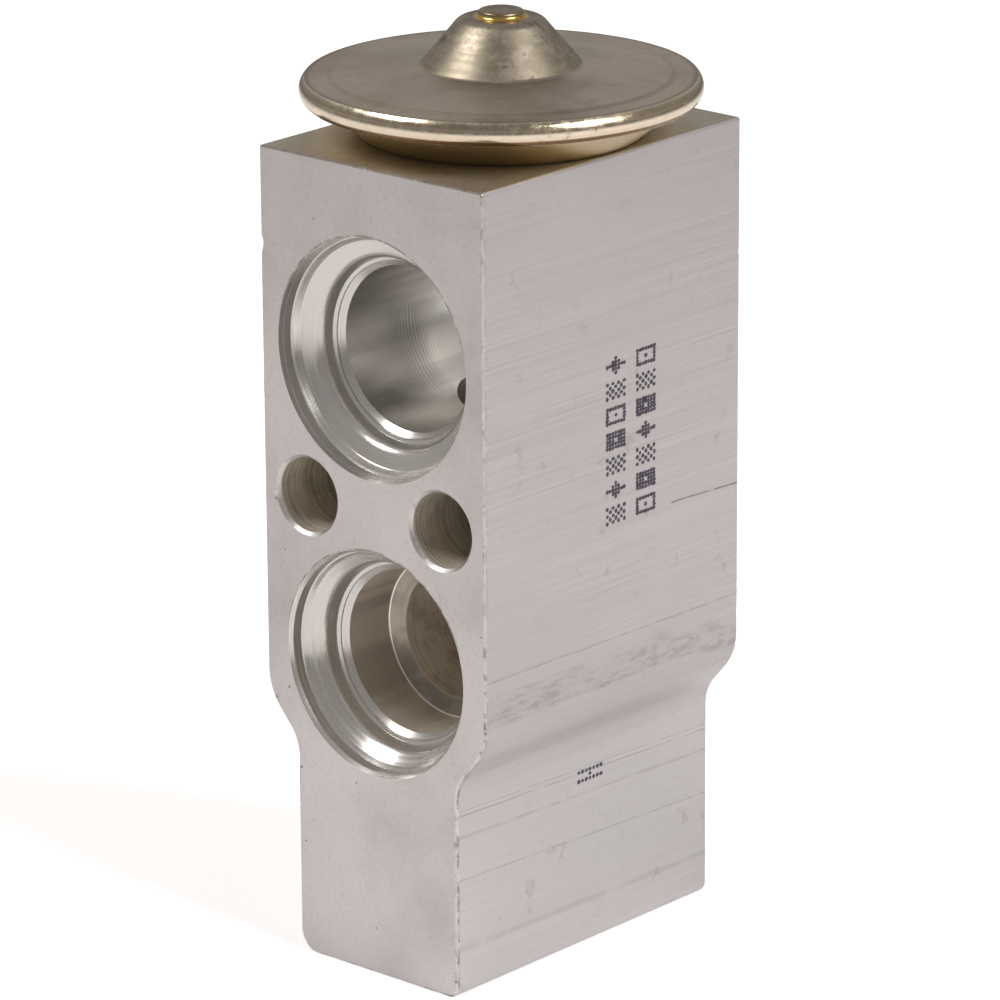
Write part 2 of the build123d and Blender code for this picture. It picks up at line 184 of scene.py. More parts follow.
def setUpFloor():  # white paper that falls away into the dark of the room
    bpy.ops.mesh.primitive_plane_add(size=floorSettings["size"], location=(0, 0, 0))
    floor = bpy.context.object
    floor.name = "studioFloor"
    material = bpy.data.materials.new("floorPaper")
    material.use_nodes = True
    tree = material.node_tree
    tree.nodes.clear()
    place = addNode(tree, "ShaderNodeTexCoord")
    reach = addNode(tree, "ShaderNodeVectorMath", operation="LENGTH")
    away = addNode(tree, "ShaderNodeMapRange", interpolation_type="SMOOTHSTEP")
    near, far = floorSettings["fadeRange"]
    setSockets(away, {"From Min": near, "From Max": far})
    rays = addNode(tree, "ShaderNodeLightPath")
    unseen = addNode(tree, "ShaderNodeMath", operation="SUBTRACT")
    unseen.inputs[0].default_value = 1
    fade = addNode(tree, "ShaderNodeMath", operation="MULTIPLY")
    tone = addNode(tree, "ShaderNodeMix", data_type="RGBA")
    nearColour, farColour = floorSettings["nearColour"], floorSettings["farColour"]
    setSockets(tone, {"A": (*nearColour, 1), "B": (*farColour, 1)})
    paper = addNode(tree, "ShaderNodeBsdfDiffuse")
    cameraGlow = addNode(tree, "ShaderNodeMath", operation="MULTIPLY")
    cameraGlow.inputs[1].default_value = floorSettings["cameraLift"]
    glossyGlow = addNode(tree, "ShaderNodeMath", operation="MULTIPLY")
    glossyGlow.inputs[1].default_value = floorSettings["glossyLift"]
    lift = addNode(tree, "ShaderNodeMath", operation="ADD")
    glow = addNode(tree, "ShaderNodeEmission")
    both = addNode(tree, "ShaderNodeAddShader")
    out = addNode(tree, "ShaderNodeOutputMaterial")
    for source, target in (
        (place.outputs["Object"], reach.inputs[0]),
        (reach.outputs["Value"], away.inputs["Value"]),
        (rays.outputs["Is Camera Ray"], unseen.inputs[1]),
        (away.outputs["Result"], fade.inputs[0]),
        (unseen.outputs[0], fade.inputs[1]),
        (fade.outputs[0], tone.inputs["Factor"]),
        (tone.outputs["Result"], paper.inputs["Color"]),
        (tone.outputs["Result"], glow.inputs["Color"]),
        (rays.outputs["Is Camera Ray"], cameraGlow.inputs[0]),
        (rays.outputs["Is Glossy Ray"], glossyGlow.inputs[0]),
        (cameraGlow.outputs[0], lift.inputs[0]),
        (glossyGlow.outputs[0], lift.inputs[1]),
        (lift.outputs[0], glow.inputs["Strength"]),
        (paper.outputs[0], both.inputs[0]),
        (glow.outputs[0], both.inputs[1]),
        (both.outputs[0], out.inputs["Surface"]),
    ):
        tree.links.new(source, target)
    floor.data.materials.append(material)


setUpCamera()
setUpLamps()
setUpWorld()
setUpFloor()
bpy.context.scene.view_settings.view_transform = "Standard"

print("stage: modelling helpers")

mergeDistance = 0.0002 * mm


def deselectAll():
    bpy.ops.object.select_all(action="DESELECT")


def pickOnly(piece):
    deselectAll()
    piece.select_set(True)
    bpy.context.view_layer.objects.active = piece


def startOutline(name):  # a plane merged to the one point that an outline is drawn from
    deselectAll()
    bpy.ops.mesh.primitive_plane_add(size=mm, location=(0, 0, 0))
    piece = bpy.context.object
    piece.name = piece.data.name = name
    bpy.ops.object.mode_set(mode="EDIT")
    bpy.ops.mesh.select_all(action="SELECT")
    bpy.ops.mesh.merge(type="CENTER")
    return piece


def drawOutline(points):
    bpy.ops.transform.translate(value=points[0])
    for here, there in zip(points, points[1:]):
        bpy.ops.mesh.extrude_region_move(TRANSFORM_OT_translate={"value": there - here})


def closeMesh(piece, smoothAngle=30):
    bpy.ops.mesh.select_all(action="SELECT")
    bpy.ops.mesh.remove_doubles(threshold=mergeDistance)
    bpy.ops.mesh.normals_make_consistent(inside=False)
    bpy.ops.object.mode_set(mode="OBJECT")
    pickOnly(piece)
    bpy.ops.object.shade_smooth_by_angle(angle=math.radians(smoothAngle))
    return piece


def roundCorners(corners, closed=False, arcStep=12):
    # corners are (across, along, radius); each rounded one becomes an arc of short runs
    points = []
    count = len(corners)
    for index, (u, v, radius) in enumerate(corners):
        if radius <= 0 or (not closed and index in (0, count - 1)):
            points.append((u, v))
            continue
        here = Vector((u, v))
        before = (Vector(corners[index - 1][:2]) - here).normalized()
        after = (Vector(corners[(index + 1) % count][:2]) - here).normalized()
        opening = before.angle(after)
        reach = radius / math.tan(opening / 2)
        middle = here + (before + after).normalized() * radius / math.sin(opening / 2)
        first = here + before * reach - middle
        sweep = math.pi - opening
        side = 1 if first.x * (after.y - before.y) - first.y * (after.x - before.x) > 0 else -1
        steps = max(2, math.ceil(math.degrees(sweep) / arcStep))
        for step in range(steps + 1):
            turn = side * sweep * step / steps
            spot = Vector(
                (
                    first.x * math.cos(turn) - first.y * math.sin(turn),
                    first.x * math.sin(turn) + first.y * math.cos(turn),
                )
            )
            points.append(tuple(middle + spot))
    return points


def turnPiece(name, outline, centre=Vector(), axis=alongZ, steps=192, smoothAngle=30):
    # outline is (radius, along) in mm, spun about the axis
    # an outline that doesn't start and end on the axis ends where it starts
    piece = startOutline(name)
    side = Vector((1, 0, 0))
    if outline[0][0] > 0:
        outline = outline + outline[:1]
    drawOutline([centre + side * r * mm + axis * a * mm for r, a in outline])
    bpy.ops.mesh.select_all(action="SELECT")
    bpy.ops.mesh.spin(steps=steps, angle=2 * math.pi, center=centre, axis=axis)
    return closeMesh(piece, smoothAngle)


def cutAway(piece, cutter, material):
    cutter.data.materials.clear()
    cutter.data.materials.append(material)
    pickOnly(piece)
    bpy.ops.object.modifier_add(type="BOOLEAN")
    cut = piece.modifiers[-1]
    cut.object = cutter
    cut.operation = "DIFFERENCE"
    cut.solver = "EXACT"
    cut.material_mode = "TRANSFER"
    bpy.ops.object.modifier_apply(modifier=cut.name)
    bpy.data.objects.remove(cutter)


print("stage: materials")


def tint(red, green, blue):  # a colour as it looks on a screen, 0 to 255
    def linear(value):
        value /= 255
        return value / 12.92 if value <= 0.04045 else ((value + 0.055) / 1.055) ** 2.4

    return (linear(red), linear(green), linear(blue), 1)


class Finish:  # one material, built from the object's own coordinates
    def __init__(self, name, look):
        self.material = bpy.data.materials.new(name)
        self.material.use_nodes = True
        self.tree = self.material.node_tree
        self.shader = self.tree.nodes["Principled BSDF"]
        self.base = look["base"]
        surface = {"Metallic": look.get("metallic", 1.0), "Roughness": look.get("roughness", 0.5)}
        setSockets(self.shader, {"Base Color": tint(*self.base), **surface})
        self.place = self.add("ShaderNodeTexCoord").outputs["Object"]
        self.colour = None
        self.normal = None

    def add(self, kind, sockets=None, **settings):
        node = addNode(self.tree, kind, **settings)
        setSockets(node, sockets or {})
        return node

    def link(self, source, target):
        self.tree.links.new(source, target)

    def stretch(self, scale, turn=(0, 0, 0), shift=(0, 0, 0)):
        node = self.add("ShaderNodeMapping", {"Scale": scale, "Rotation": turn, "Location": shift})
        self.link(self.place, node.inputs["Vector"])
        return node.outputs["Vector"]

    def noise(self, scale, detail=3.0, rough=0.5, vector=None):
        sockets = {"Scale": scale, "Detail": detail, "Roughness": rough}
        node = self.add("ShaderNodeTexNoise", sockets)
        self.link(vector or self.place, node.inputs["Vector"])
        return node.outputs["Fac"]

    def specks(self, scale, size, rarity):  # round specks: 1 inside, 0 outside, on a part of the cells
        node = self.add("ShaderNodeTexVoronoi", {"Scale": scale})
        self.link(self.place, node.inputs["Vector"])
        spot = self.span(node.outputs["Distance"], size, size * 0.6)
        split = self.add("ShaderNodeSeparateColor")
        self.link(node.outputs["Color"], split.inputs[0])
        return self.times(spot, self.span(split.outputs[0], rarity, rarity + 0.01))

    def span(self, value, low, high, toLow=0.0, toHigh=1.0):  # a smooth step between two values
        sockets = {"From Min": low, "From Max": high, "To Min": toLow, "To Max": toHigh}
        node = self.add("ShaderNodeMapRange", sockets, interpolation_type="SMOOTHSTEP")
        self.link(value, node.inputs["Value"])
        return node.outputs["Result"]

    def ramp(self, value, start, full):  # 0 before the first place and 1 past the second, in mm
        return self.span(value, start * mm, full * mm)

    def band(self, value, start, full, fade, end):  # a ramp up and a ramp down, in mm
        return self.times(self.ramp(value, start, full), self.ramp(value, end, fade))

    def math(self, operation, *values):
        node = self.add("ShaderNodeMath", operation=operation)
        for socket, value in zip(node.inputs, values):
            if isinstance(value, (int, float)):
                socket.default_value = value
            else:
                self.link(value, socket)
        return node.outputs[0]

    def times(self, first, *others):
        for other in others:
            first = self.math("MULTIPLY", first, other)
        return first

    def wave(self, value, pitch):  # ridges as far apart as the pitch, which is in mm
        return self.math("SINE", self.times(value, 2 * math.pi / (pitch * mm)))

    def axes(self):
        node = self.add("ShaderNodeSeparateXYZ")
        self.link(self.place, node.inputs[0])
        return node.outputs[0], node.outputs[1], node.outputs[2]

    def turnedPlace(self, centre, axis):
        # distance from a turning axis, and the place along it, also as one vector
        x, y, z = self.axes()
        first, second, along = (x, z, y) if axis == "Y" else (x, y, z)
        across = self.math("SUBTRACT", first, centre[0])
        beside = self.math("SUBTRACT", second, centre[1])
        squares = self.math("ADD", self.times(across, across), self.times(beside, beside))
        radius = self.math("SQRT", squares)
        node = self.add("ShaderNodeCombineXYZ")
        self.link(radius, node.inputs[0])
        self.link(along, node.inputs[1])
        return node.outputs["Vector"], radius, along

    def lay(self, mask, colour, amount=1.0):  # lays a colour over what is there so far
        node = self.add("ShaderNodeMix", data_type="RGBA")
        if self.colour is None:
            node.inputs["A"].default_value = tint(*self.base)
        else:
            self.link(self.colour, node.inputs["A"])
        node.inputs["B"].default_value = tint(*colour)
        self.link(self.times(mask, amount), node.inputs["Factor"])
        self.colour = node.outputs["Result"]
        self.link(self.colour, self.shader.inputs["Base Color"])

    def darken(self, mask, share, amount):  # lays a share of the finish's own base colour
        self.lay(mask, [value * share for value in self.base], amount)

    def bump(self, height, strength, depth):  # depth in mm
        node = self.add("ShaderNodeBump", {"Strength": strength, "Distance": depth * mm})
        self.link(height, node.inputs["Height"])
        if self.normal is not None:
            self.link(self.normal, node.inputs["Normal"])
        self.normal = node.outputs["Normal"]
        self.link(self.normal, self.shader.inputs["Normal"])

    def rough(self, value):
        self.link(value, self.shader.inputs["Roughness"])


portForm = {  # each mouth and the seat below it: (wider than the bore by, depth, rounding)
    "suction": {
        "z": 63.0,
        "bore": 8.27,
        "mouth": [(3.88, 0, 0), (3.63, 1.45, 0.03), (3.53, 1.5, 0.03), (3.13, 2.3, 0.35)],
    },
    "outlet": {
        "z": 32.2,
        "bore": 8.3,
        "mouth": [
            (3.2, 0, 0),
            (2.92, 0.42, 0.08),
            (2.84, 1.45, 0.03),
            (2.72, 1.5, 0.03),
            (2.45, 1.95, 0.35),
        ],
    },
    "inlet": {
        "z": 17.0,
        "bore": 5.1,
        "mouth": [(2.7, 0, 0), (2.42, 0.32, 0.08), (2.3, 1.65, 0.1)],
    },
    "seat": [(1.25, 3.08, 1.35), (0.97, 4.6, 0.05), (0.62, 4.76, 0.03), (0.6, 4.9, 0.03)],
    "boreStart": 5.4,
    "boreRound": 0.06,
    "overrun": 1.0,
    "stopStart": 13.8,
    "stopEnd": 15.4,
    "stopStep": 0.2,
    "outletBoreEnd": 11.1,
    "outletInner": 6.6,
    "outletInnerEnd": 24.0,
    "inletBoreEnd": 9.6,
    "inletInner": 3.2,
    "drillSlope": 0.4,
    "drillRound": 0.03,
    "endRound": 0.1,
    "steps": 256,
}
boltForm = {
    "z": 47.7,
    "spacing": 17.4,
    "radius": 3.75,
    "chamfer": 0.35,
    "overrun": 1.0,
    "round": 0.1,
    "steps": 96,
}
suctionZ, outletZ, inletZ = [portForm[name]["z"] * mm for name in ("suction", "outlet", "inlet")]
boltX, boltZ = boltForm["spacing"] / 2 * mm, boltForm["z"] * mm

# each look holds screen colours: the base, then each layer's colour and how much of it shows
extrudedLook = {
    "base": (187, 182, 182),
    "roughRange": (0.41, 0.49),
    "darkLines": ((166, 160, 157), 0.34),
    "paleLines": ((210, 205, 203), 0.26),
    "broadLines": ((178, 171, 168), 0.18),
    "cloud": ((200, 189, 187), 0.3),
    "grain": ((172, 164, 162), 0.3),
    # painted light: the sides are laid paler towards the foot, for light from the white floor
    "paintedFloorLight": ((212, 208, 210), 0.45),
    "floorLightHeights": (34, 12),
    "stain": ((140, 127, 120), 0.48),
    "stainHeights": (30.6, 31.6, 33.3, 35.2),
    "stainSway": 6,
    "scratch": (112, 103, 101),
    "smudges": ((134, 126, 124), 0.28),
    "pits": ((98, 88, 84), 0.75),
    "specks": ((120, 110, 108), 0.5),
    "darkBurr": ((122, 111, 106), 0.7),
    "paleBurrAndEdgeHighlight": ((228, 224, 221), 0.8),
    "burrWidth": (0.6, 0.35),
    "burrHeights": (30, 20),
}
scratches = [  # on the +X side in mm: (y, z) at both ends, half width, how much shows
    ((8.6, 45.0), (19.4, 44.6), 0.075, 0.85),
    ((-19.0, 18.8), (19.0, 17.7), 0.06, 0.45),
    ((-19.0, 19.3), (19.0, 18.2), 0.05, 0.3),
    ((-19.0, 16.6), (19.0, 15.5), 0.16, 0.22),
    ((-19.0, 12.2), (19.0, 10.8), 0.07, 0.3),
    ((-19.0, 5.0), (19.0, 4.3), 0.3, 0.16),
    ((-19.0, 33.4), (19.0, 33.0), 0.1, 0.3),
]


def scratchMask(finish, start, end, halfWidth):
    x, y, z = finish.axes()
    slope = (end[1] - start[1]) / (end[0] - start[0])
    line = finish.math("MULTIPLY_ADD", y, slope, (start[1] - slope * start[0]) * mm)
    waver = finish.span(finish.noise(240), 0.3, 0.7, -0.03 * mm, 0.03 * mm)
    gap = finish.math("ABSOLUTE", finish.math("SUBTRACT", finish.math("ADD", z, waver), line))
    worn = finish.span(finish.noise(420, 4.0), 0.35, 0.55, 0.25, 1.0)
    inside = finish.ramp(gap, halfWidth * 1.6, halfWidth * 0.4)
    begun = finish.ramp(y, start[0] - 0.3, start[0] + 0.3)
    return finish.times(inside, worn, begun, finish.math("GREATER_THAN", x, 0.0))


def extrudedMetal():  # the drawn sides of the bar, with fine lines along Y
    look = extrudedLook
    finish = Finish("extrudedAluminium", look)
    y, z = finish.axes()[1:]
    lines = finish.noise(1.0, 4.0, 0.62, finish.stretch((900, 24, 3000), (0.012, 0, 0)))
    broad = finish.noise(1.0, 2.0, 0.5, finish.stretch((200, 9, 420), (0.02, 0, 0)))
    cloud = finish.noise(75, 4.0, 0.55)
    grain = finish.noise(2600, 2.0, 0.6)
    patch = finish.span(finish.noise(48, 3.0, 0.6), 0.4, 0.62, 0.25, 1.0)
    finish.lay(finish.times(finish.span(lines, 0.46, 0.74), patch), *look["darkLines"])
    finish.lay(finish.times(finish.span(lines, 0.48, 0.26), patch), *look["paleLines"])
    finish.lay(finish.span(broad, 0.5, 0.78), *look["broadLines"])
    finish.lay(finish.span(cloud, 0.48, 0.75), *look["cloud"])
    finish.lay(finish.span(grain, 0.5, 0.8), *look["grain"])
    # painted light: paler towards the foot, for light from the white floor
    finish.lay(finish.ramp(z, *look["floorLightHeights"]), *look["paintedFloorLight"])
    sway = finish.times(finish.noise(55, 3.0, 0.6), look["stainSway"] * mm)
    stained = finish.band(finish.math("ADD", z, sway), *look["stainHeights"])
    smeared = finish.noise(1.0, 5.0, 0.72, finish.stretch((1100, 420, 1500), (0.012, 0, 0)))
    finish.lay(finish.times(stained, finish.span(smeared, 0.42, 0.66, 0.15, 1.0)), *look["stain"])
    for start, end, halfWidth, amount in scratches:
        finish.lay(scratchMask(finish, start, end, halfWidth), look["scratch"], amount)
    smudges = finish.span(finish.noise(330, 4.0, 0.7), 0.6, 0.7)
    finish.lay(finish.times(smudges, patch), *look["smudges"])
    finish.lay(finish.specks(230, 0.038, 0.6), *look["pits"])
    finish.lay(finish.specks(610, 0.06, 0.9), *look["specks"])
    frontEdge = frontY / mm
    strip = finish.times(
        finish.ramp(y, *(frontEdge + width for width in look["burrWidth"])),
        finish.span(z, *(height * mm for height in look["burrHeights"]), 0.25, 1.0),
    )
    burr = finish.noise(800, 5.0, 0.75)
    finish.lay(finish.times(strip, finish.span(burr, 0.49, 0.55)), *look["darkBurr"])
    # a pale burr along the front edge, with a painted edge highlight
    finish.lay(finish.times(strip, finish.span(burr, 0.46, 0.41)), *look["paleBurrAndEdgeHighlight"])
    finish.rough(finish.span(lines, 0.3, 0.7, *look["roughRange"]))
    finish.bump(lines, 0.15, 0.02)
    finish.bump(finish.times(strip, burr), 0.5, 0.15)
    finish.bump(grain, 0.15, 0.01)
    return finish.material


milledLook = {
    "base": (196, 191, 190),
    "roughRange": (0.4, 0.54),
    "cloud": ((174, 166, 163), 0.5),
    "smear": ((204, 197, 194), 0.3),
    "grain": ((166, 157, 154), 0.42),
    "pits": ((88, 76, 70), 0.85),
    "specks": ((104, 92, 88), 0.7),
    "fineSpecks": ((128, 118, 114), 0.4),
    "paintedGlints": ((222, 217, 214), 0.6),
    "tornRing": ((112, 101, 94), 0.7),
    "ringWidths": (0, 0.03, 0.1, 0.22),
    "ringStart": (1, 6),
}


def milledMetal():  # the cut faces with the ports
    look = milledLook
    finish = Finish("milledAluminium", look)
    y, z = finish.axes()[1:]
    cloud = finish.noise(52, 5.0, 0.6)
    smear = finish.noise(1.0, 3.0, 0.6, finish.stretch((260, 260, 90), (0, 0.5, 0)))
    grain = finish.noise(2400, 3.0, 0.65)
    finish.lay(finish.span(cloud, 0.45, 0.75), *look["cloud"])
    finish.lay(finish.span(smear, 0.5, 0.8), *look["smear"])
    finish.lay(finish.span(grain, 0.48, 0.8), *look["grain"])
    finish.lay(finish.specks(210, 0.036, 0.5), *look["pits"])
    finish.lay(finish.specks(430, 0.06, 0.8), *look["specks"])
    finish.lay(finish.specks(900, 0.09, 0.8), *look["fineSpecks"])
    # painted highlights: small pale glints
    finish.lay(finish.specks(330, 0.05, 0.93), *look["paintedGlints"])
    torn = finish.span(finish.noise(520, 4.0, 0.7), 0.42, 0.54)
    for name in ("suction", "outlet"):  # a torn line round the upper half of each mouth
        port = portForm[name]
        mouth = port["bore"] + port["mouth"][0][0]
        radius = finish.turnedPlace((0, port["z"] * mm), "Y")[1]
        line = finish.band(radius, *(mouth + width for width in look["ringWidths"]))
        upper = finish.ramp(z, *(port["z"] + height for height in look["ringStart"]))
        if name == "outlet":  # which has no mouth on the rear face
            upper = finish.times(upper, finish.math("LESS_THAN", y, 0.0))
        finish.lay(finish.times(line, torn, upper), *look["tornRing"])
    finish.rough(finish.span(cloud, 0.3, 0.7, *look["roughRange"]))
    finish.bump(grain, 0.2, 0.02)
    finish.bump(cloud, 0.2, 0.1)
    return finish.material


sawnLook = {
    "base": (192, 183, 168),
    "roughness": 0.48,
    "arcs": ((164, 154, 138), 0.35),
    "cloud": ((206, 199, 190), 0.35),
    "grain": ((140, 128, 110), 0.5),
    "specks": ((86, 74, 62), 0.7),
}


def sawnMetal():  # the top and bottom, where the bar was cut off
    look = sawnLook
    finish = Finish("sawnAluminium", look)
    arcs = finish.noise(1.0, 3.0, 0.6, finish.stretch((1500, 60, 60), (0, 0, 0.35)))
    cloud = finish.noise(90, 4.0, 0.6)
    grain = finish.noise(2600, 2.0, 0.6)
    finish.lay(finish.span(arcs, 0.45, 0.7), *look["arcs"])
    finish.lay(finish.span(cloud, 0.5, 0.75), *look["cloud"])
    finish.lay(finish.span(grain, 0.5, 0.8), *look["grain"])
    finish.lay(finish.specks(260, 0.05, 0.7), *look["specks"])
    finish.bump(arcs, 0.25, 0.03)
    finish.bump(grain, 0.2, 0.02)
    return finish.material


edgeLook = {
    "base": (198, 192, 189),
    "roughness": 0.44,
    "paintedTopShade": ((150, 142, 132), 0.8),
    "topShadeHeights": (81.4, 81.7),
    "darkBurr": (112, 100, 95),
    "burrHeights": (42, 30),
    "burrAmounts": (0.4, 0.85),
    "paleBurrAndEdgeHighlight": ((222, 218, 215), 0.8),
}


def edgeMetal():  # the broken edges of the cut faces, with burrs and nicks
    look = edgeLook
    finish = Finish("edgeAluminium", look)
    z = finish.axes()[2]
    torn = finish.noise(760, 5.0, 0.75)
    lengths = finish.span(finish.noise(140, 3.0, 0.6), 0.42, 0.56, 0.25, 1.0)
    # painted shade: the edge faces are darker along the top, to hold down the corner's highlight
    finish.lay(finish.ramp(z, *look["topShadeHeights"]), *look["paintedTopShade"])
    low = finish.span(z, *(height * mm for height in look["burrHeights"]), *look["burrAmounts"])
    finish.lay(finish.times(finish.span(torn, 0.50, 0.60), lengths, low), look["darkBurr"])
    # pale burrs along the edges, with a painted edge highlight
    finish.lay(finish.span(torn, 0.42, 0.32), *look["paleBurrAndEdgeHighlight"])
    finish.bump(torn, 0.6, 0.14)
    return finish.material


ringLook = {"ringPitch": 0.4, "ringDepth": 0.01, "ringShine": 0.3}  # fine rings of a turned wall


def turnedMetal(name, look, centre, axis):
    # a turned or bored wall, with fine rings about its own axis
    look = ringLook | look
    finish = Finish(name, look)
    finish.turned, finish.radius, finish.along = finish.turnedPlace(centre, axis)
    grooves = finish.noise(1 / (look["ringPitch"] * mm), 4.0, 0.62, finish.turned)
    smooth, coarse = [look["roughness"] * (1 + k * look["ringShine"]) for k in (-1, 1)]
    finish.roughness = finish.span(grooves, 0.35, 0.65, smooth, coarse)
    finish.rough(finish.roughness)
    finish.bump(grooves, 0.25, look["ringDepth"])
    return finish


portLook = {
    "base": (206, 201, 197),
    "metallic": 0.74,
    "roughness": 0.23,
    "ringPitch": 0.3,
    "haze": ((180, 176, 162), 0.4),
    "specks": ((110, 98, 88), 0.7),
}


def portMetal(name, centreZ):
    look = portLook
    finish = turnedMetal(name, look, (0, centreZ), "Y")
    finish.lay(finish.span(finish.noise(120), 0.5, 0.75), *look["haze"])
    finish.lay(finish.specks(500, 0.05, 0.9), *look["specks"])
    return finish.material


boreLook = {  # the painted reflection bands, ridges and smudge hold a share of the base, and how much shows
    "roughness": 0.3,
    "ringPitch": 0.9,
    "ringDepth": 0.006,
    "ringShine": 0.08,
    "paintedReflectionBands": (0.74, 0.55),
    "ridges": (0.8, 0.4),
    "ridgePitch": 0.42,
    "smudge": (0.84, 0.25),
    "specks": ((96, 84, 76), 0.6),
    # the colour of a painted highlight at the corner
    "corner": (240, 236, 230),
    "cornerHighlightWidths": (0.2, 0.1),
}


def boreMetal(name, centreZ, base, metallic, corner=0):
    look = boreLook | {"base": base, "metallic": metallic}
    finish = turnedMetal(name, look, (0, centreZ), "Y")
    patch = finish.span(finish.noise(105, 2.0), 0.47, 0.58)
    ridges = finish.times(finish.span(finish.wave(finish.along, look["ridgePitch"]), 0.0, 1.0), patch)
    # painted reflections: dark bands along the bore
    paintedReflectionBands = finish.noise(1.0, 3.0, 0.55, finish.stretch((230, 12, 230)))
    finish.darken(finish.span(paintedReflectionBands, 0.45, 0.6), *look["paintedReflectionBands"])
    finish.darken(ridges, *look["ridges"])
    finish.darken(finish.span(finish.noise(140, 5.0, 0.6), 0.55, 0.75), *look["smudge"])
    finish.lay(finish.specks(420, 0.07, 0.85), *look["specks"])
    finish.bump(ridges, 0.5, 0.015)
    if corner:  # a painted highlight: a bright line where the bore's wall meets its flat end
        wall = finish.ramp(finish.radius, *(corner - width for width in look["cornerHighlightWidths"]))
        finish.lay(wall, look["corner"])
    return finish.material


drilledLook = {  # dark and torn hold a share of the base, and how much shows
    "metallic": 0.25,
    "roughness": 0.5,
    "ringPitch": 0.7,
    "ringDepth": 0.02,
    "ringShine": 0.15,
    "dark": (0.72, 0.5),
    "torn": (0.66, 0.5),
    "tornPitch": 0.35,
    "grooves": ((240, 234, 222), 0.6),
    "waver": 9,
}


def drilledMetal(name, centreX, centreZ, base, pitch):
    look = drilledLook | {"base": base}
    finish = turnedMetal(name, look, (centreX, centreZ), "Y")
    waver = finish.times(finish.noise(180), look["waver"])
    turn = finish.math("MULTIPLY_ADD", finish.along, 2 * math.pi / (pitch * mm), waver)
    patch = finish.span(finish.noise(150), 0.45, 0.6)
    grooves = finish.times(finish.span(finish.math("SINE", turn), 0.88, 1.0), patch)
    torn = finish.noise(1 / (look["tornPitch"] * mm), 4.0, 0.7, finish.turned)
    finish.darken(finish.span(finish.noise(420, 4.0, 0.6), 0.45, 0.65), *look["dark"])
    finish.darken(finish.span(torn, 0.48, 0.62), *look["torn"])
    finish.lay(grooves, *look["grooves"])
    finish.bump(grooves, 0.4, 0.04)
    return finish.material


headLook = {
    "base": (192, 178, 164),
    "roughness": 0.36,
    "ringPitch": 0.6,
    "ringDepth": 0.005,
    "ringShine": 0.1,
    "cloud": ((156, 140, 124), 0.65),
    "blotches": ((138, 121, 104), 0.35),
    "specks": ((108, 92, 78), 0.6),
    "grain": ((146, 131, 116), 0.35),
    "boss": ((128, 120, 104), 1.0),
    "bossSpots": ((88, 74, 57), 0.75),
    "bossRadii": (8.2, 7.6),
    "bossRoughness": 0.1,
    "grooveShade": ((128, 113, 96), 0.3),
    "grooveShadeRadii": (16.3, 16.6, 16.8, 17.1),
    # painted shade in the crease against the rim
    "edge": ((112, 96, 76), 0.55),
    "creaseShadeRadii": (18.4, 18.9),
    "dish": ((224, 204, 162), 0.85),
    "dishHeights": (85.6, 85.0),
    "pits": ((90, 76, 62), 0.75),
    "paintedGlints": ((226, 216, 200), 0.7),
}


def headSteel():  # both pressed covers: warm, satin, mottled on the boss
    look = headLook
    finish = turnedMetal("headSteel", look, (0, 0), "Z")
    mottle = finish.noise(330, 5.0, 0.7)
    grain = finish.noise(2600, 2.0, 0.6)
    boss = finish.ramp(finish.radius, *look["bossRadii"])
    finish.lay(finish.span(finish.noise(70, 3.0, 0.55), 0.42, 0.66), *look["cloud"])
    finish.lay(finish.span(finish.noise(210, 4.0, 0.65), 0.5, 0.68), *look["blotches"])
    finish.lay(finish.specks(720, 0.07, 0.8), *look["specks"])
    finish.lay(finish.span(grain, 0.5, 0.8), *look["grain"])
    finish.lay(finish.times(boss, finish.span(mottle, 0.62, 0.42, 0.5, 0.95)), *look["boss"])
    finish.lay(finish.times(boss, finish.span(mottle, 0.54, 0.66)), *look["bossSpots"])
    # painted shade in the faint groove near the edge of the disc
    finish.lay(finish.band(finish.radius, *look["grooveShadeRadii"]), *look["grooveShade"])
    # painted shade: darker towards the cover's outer edge, in the crease against the rim
    finish.lay(finish.ramp(finish.radius, *look["creaseShadeRadii"]), *look["edge"])
    # painted light: the lower cover is laid lighter, with its warmer tone, to lift its dark reflection
    finish.lay(finish.ramp(finish.along, *look["dishHeights"]), *look["dish"])
    finish.lay(finish.specks(300, 0.05, 0.6), *look["pits"])
    # painted highlights: small pale glints
    finish.lay(finish.specks(240, 0.04, 0.88), *look["paintedGlints"])
    finish.rough(finish.math("MULTIPLY_ADD", boss, look["bossRoughness"], finish.roughness))
    finish.bump(mottle, 0.12, 0.03)
    return finish.material


rimLook = {
    "base": (216, 201, 182),
    "roughness": 0.25,
    "ringPitch": 0.35,
    "roughRange": (0.17, 0.36),
    "streaks": ((170, 148, 116), 0.45),
    "creaseShadeBand": ((140, 124, 94), 0.6),
    "creaseShadeHeights": (86.8, 87.1, 87.3, 87.6),
    "lowBand": ((106, 74, 40), 0.95),
    "lowHeights": (85.3, 85.4, 85.7, 85.9),
    "stains": ((120, 100, 74), 0.6),
    "pits": ((84, 68, 50), 0.7),
}


